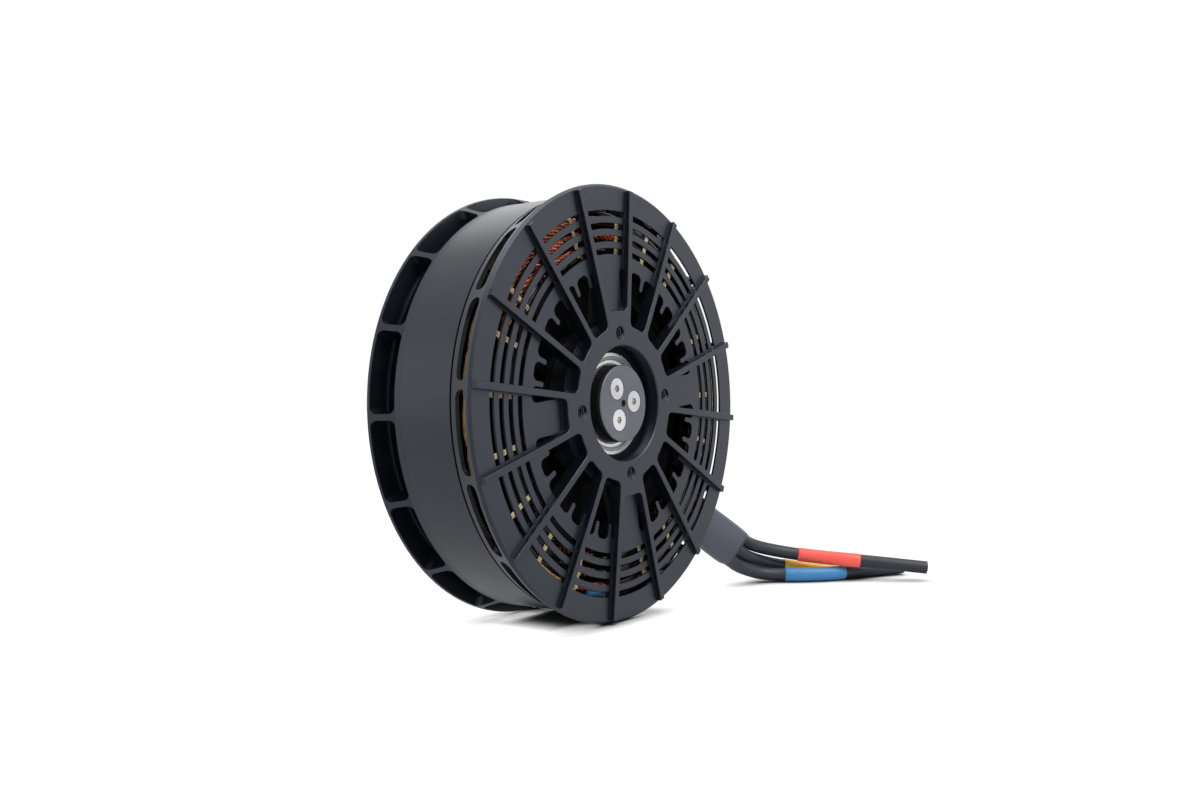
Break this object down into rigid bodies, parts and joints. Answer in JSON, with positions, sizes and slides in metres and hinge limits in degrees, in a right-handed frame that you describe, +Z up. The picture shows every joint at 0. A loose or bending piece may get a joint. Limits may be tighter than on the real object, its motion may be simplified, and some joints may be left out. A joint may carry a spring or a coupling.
{
  "type": "brushless motor",
  "caption": "Flat outrunner brushless motor with a ribbed base plate, a windowed rotor bell, a bearing-borne shaft and three colour-marked phase leads.",
  "frame": {"origin": "centre of the four-hole mounting circle on the front face of the base hub", "axes": "+Y along the motor axis from the mounting face towards the rotor, +Z up as the motor stands on its rims, +X to the right seen from the mounting face"},
  "size_m": [0.302, 0.1325, 0.2006],
  "materials": {
    "anodised_black": "black hard-anodised, satin",
    "anodised_grey": "grey anodised, satin",
    "ring_black": "black coated steel, satin",
    "core_black": "black coated electrical steel laminations",
    "insulator": "black fibre insulation board",
    "enamelled_copper": "red-brown enamelled copper wire",
    "lacing_cord": "waxed tan lacing cord",
    "bearing_steel": "ground and polished bearing steel",
    "cage_steel": "pressed steel",
    "bearing_shield": "pressed steel shield",
    "spring_steel": "plain steel",
    "magnet_nickel": "nickel-plated magnet",
    "black_screw": "black oxide steel",
    "bright_screw": "zinc-plated steel",
    "shaft_steel": "ground steel",
    "shrink_grey": "grey shrink sleeving",
    "silicone_black": "black silicone insulation",
    "marker_red": "red shrink sleeving",
    "marker_yellow": "yellow shrink sleeving",
    "marker_blue": "blue shrink sleeving"
  },
  "bodies": {
    "stator": {"base_plate": "anodised_black", "stator_carrier": "anodised_black", "carrier_screws": "black_screw", "stator_core": "core_black", "end_insulator_front": "insulator", "end_insulator_rear": "insulator", "phase_a_coils": "enamelled_copper", "phase_b_coils": "enamelled_copper", "phase_c_coils": "enamelled_copper", "phase_a_link": "enamelled_copper", "phase_b_link": "enamelled_copper", "phase_c_link": "enamelled_copper", "front_lacing": "lacing_cord", "rear_lacing": "lacing_cord", "front_bearing_outer_ring": "bearing_steel", "front_bearing_shields": "bearing_shield", "rear_bearing_outer_ring": "bearing_steel", "rear_bearing_shields": "bearing_shield", "preload_washer": "spring_steel", "lead_sleeve": "shrink_grey", "lead_tails": "enamelled_copper", "red_lead": "silicone_black", "yellow_lead": "silicone_black", "blue_lead": "silicone_black", "red_marker": "marker_red", "yellow_marker": "marker_yellow", "blue_marker": "marker_blue"},
    "rotor": {"rotor_ring": "ring_black", "rotor_magnets": "magnet_nickel", "rotor_bell": "anodised_black", "bell_screws": "black_screw", "shaft": "shaft_steel", "shaft_cap": "anodised_grey", "shaft_cap_screws": "bright_screw", "front_bearing_inner_ring": "bearing_steel", "rear_bearing_inner_ring": "bearing_steel", "inner_ring_spacer": "spring_steel"},
    "front_cage": {"front_bearing_balls": "bearing_steel", "front_bearing_cage": "cage_steel"},
    "rear_cage": {"rear_bearing_balls": "bearing_steel", "rear_bearing_cage": "cage_steel"}
  },
  "joints": [
    {"name": "rotor_spin", "type": "hinge", "parent": "stator", "child": "rotor", "pos_m": [0, 0, 0], "axis": [0, 1, 0], "continuous": true},
    {"name": "front_cage_spin", "type": "hinge", "parent": "stator", "child": "front_cage", "pos_m": [0, 0, 0], "axis": [0, 1, 0], "continuous": true},
    {"name": "rear_cage_spin", "type": "hinge", "parent": "stator", "child": "rear_cage", "pos_m": [0, 0, 0], "axis": [0, 1, 0], "continuous": true}
  ],
  "couplings": [
    {"joint": "front_cage_spin", "follows": "rotor_spin", "ratio": 0.4351},
    {"joint": "rear_cage_spin", "follows": "rotor_spin", "ratio": 0.4351}
  ]
}
